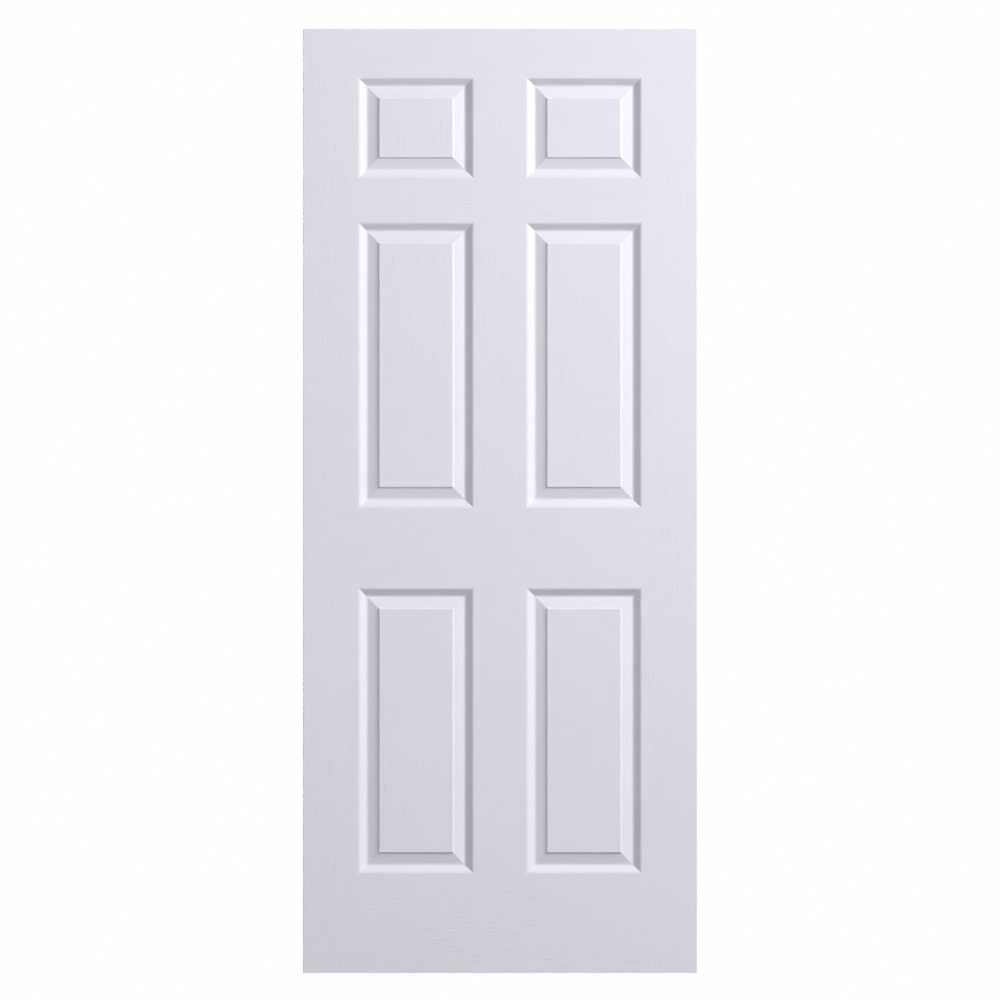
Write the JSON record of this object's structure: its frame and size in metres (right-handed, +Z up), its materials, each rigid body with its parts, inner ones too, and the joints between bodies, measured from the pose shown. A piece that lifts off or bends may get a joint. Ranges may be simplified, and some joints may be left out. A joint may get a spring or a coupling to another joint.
{
  "type": "six-panel steel door",
  "caption": "Raised-panel steel door slab, painted white over a faint pressed wood grain, with skins hooked to timber edges round a foam core; hangs on hinges to close a doorway.",
  "frame": {"origin": "middle of the slab's bottom edge, halfway between its two faces", "axes": "+Z up the door, +X across it to the right as the front is seen, the front face looking along -Y"},
  "size_m": [0.848, 0.0446, 2.032],
  "materials": {
    "skin_paint": "satin white baked paint over an embossed wood grain",
    "stile_timber": "planed softwood, bare",
    "rail_timber": "planed softwood, bare",
    "block_timber": "sawn softwood, bare",
    "core_foam": "rigid foam, matt"
  },
  "bodies": {
    "root": {"front_skin": "skin_paint", "back_skin": "skin_paint", "hinge_stile": "stile_timber", "lock_stile": "stile_timber", "top_rail": "rail_timber", "bottom_rail": "rail_timber", "lock_block": "block_timber", "foam_core": "core_foam"}
  },
  "joints": []
}
